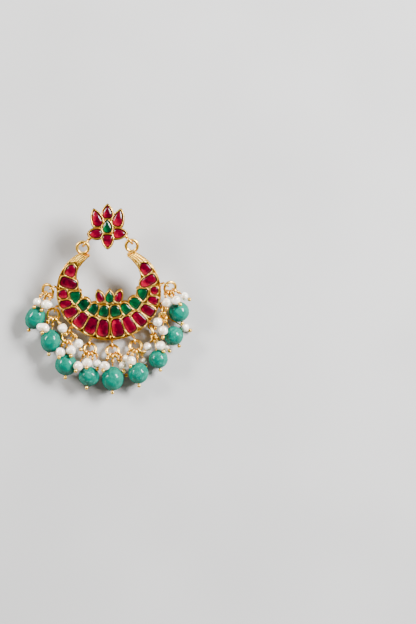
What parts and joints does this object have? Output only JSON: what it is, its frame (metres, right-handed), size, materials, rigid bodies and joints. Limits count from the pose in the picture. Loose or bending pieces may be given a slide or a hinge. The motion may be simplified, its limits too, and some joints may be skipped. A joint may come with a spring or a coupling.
{
  "type": "chandbali earring",
  "caption": "Crescent drop earring with a lotus stud and post, set with red and green stones and fringed with teal beads and small pearls.",
  "frame": {"origin": "tip of the ear post, which touches the floor as the earring lies face up", "axes": "+Z out of the earring's face, the post points to -Z; +Y towards the top of the earring, the crescent and its drops lie towards -Y"},
  "size_m": [0.0536, 0.0611, 0.012],
  "materials": {
    "gold": "satin antique gold plating",
    "kemp_ruby": "polished, foil backed",
    "kemp_emerald": "polished, foil backed",
    "teal_bead": "polished, cloudy",
    "pearl": "pearly"
  },
  "bodies": {
    "root": {"stud_setting": "gold", "stud_rubies": "kemp_ruby", "stud_emerald": "kemp_emerald", "crescent_setting": "gold", "crescent_rubies": "kemp_ruby", "crescent_emeralds": "kemp_emerald", "lotus_rubies": "kemp_ruby", "lotus_emerald": "kemp_emerald", "jump_ring_1": "gold", "jump_ring_2": "gold", "jump_ring_3": "gold", "jump_ring_4": "gold", "jump_ring_5": "gold", "jump_ring_6": "gold", "jump_ring_7": "gold", "jump_ring_8": "gold", "jump_ring_9": "gold", "bead_1": "teal_bead", "bead_2": "teal_bead", "bead_3": "teal_bead", "bead_4": "teal_bead", "bead_5": "teal_bead", "bead_6": "teal_bead", "bead_7": "teal_bead", "bead_8": "teal_bead", "bead_9": "teal_bead", "bead_pin_1": "gold", "bead_pin_2": "gold", "bead_pin_3": "gold", "bead_pin_4": "gold", "bead_pin_5": "gold", "bead_pin_6": "gold", "bead_pin_7": "gold", "bead_pin_8": "gold", "bead_pin_9": "gold", "pearls_1": "pearl", "pearls_2": "pearl", "pearls_3": "pearl", "pearls_4": "pearl", "pearls_5": "pearl", "pearls_6": "pearl", "pearls_7": "pearl", "pearls_8": "pearl", "pearls_9": "pearl", "pearl_pins_1": "gold", "pearl_pins_2": "gold", "pearl_pins_3": "gold", "pearl_pins_4": "gold", "pearl_pins_5": "gold", "pearl_pins_6": "gold", "pearl_pins_7": "gold", "pearl_pins_8": "gold", "pearl_pins_9": "gold"}
  },
  "joints": []
}
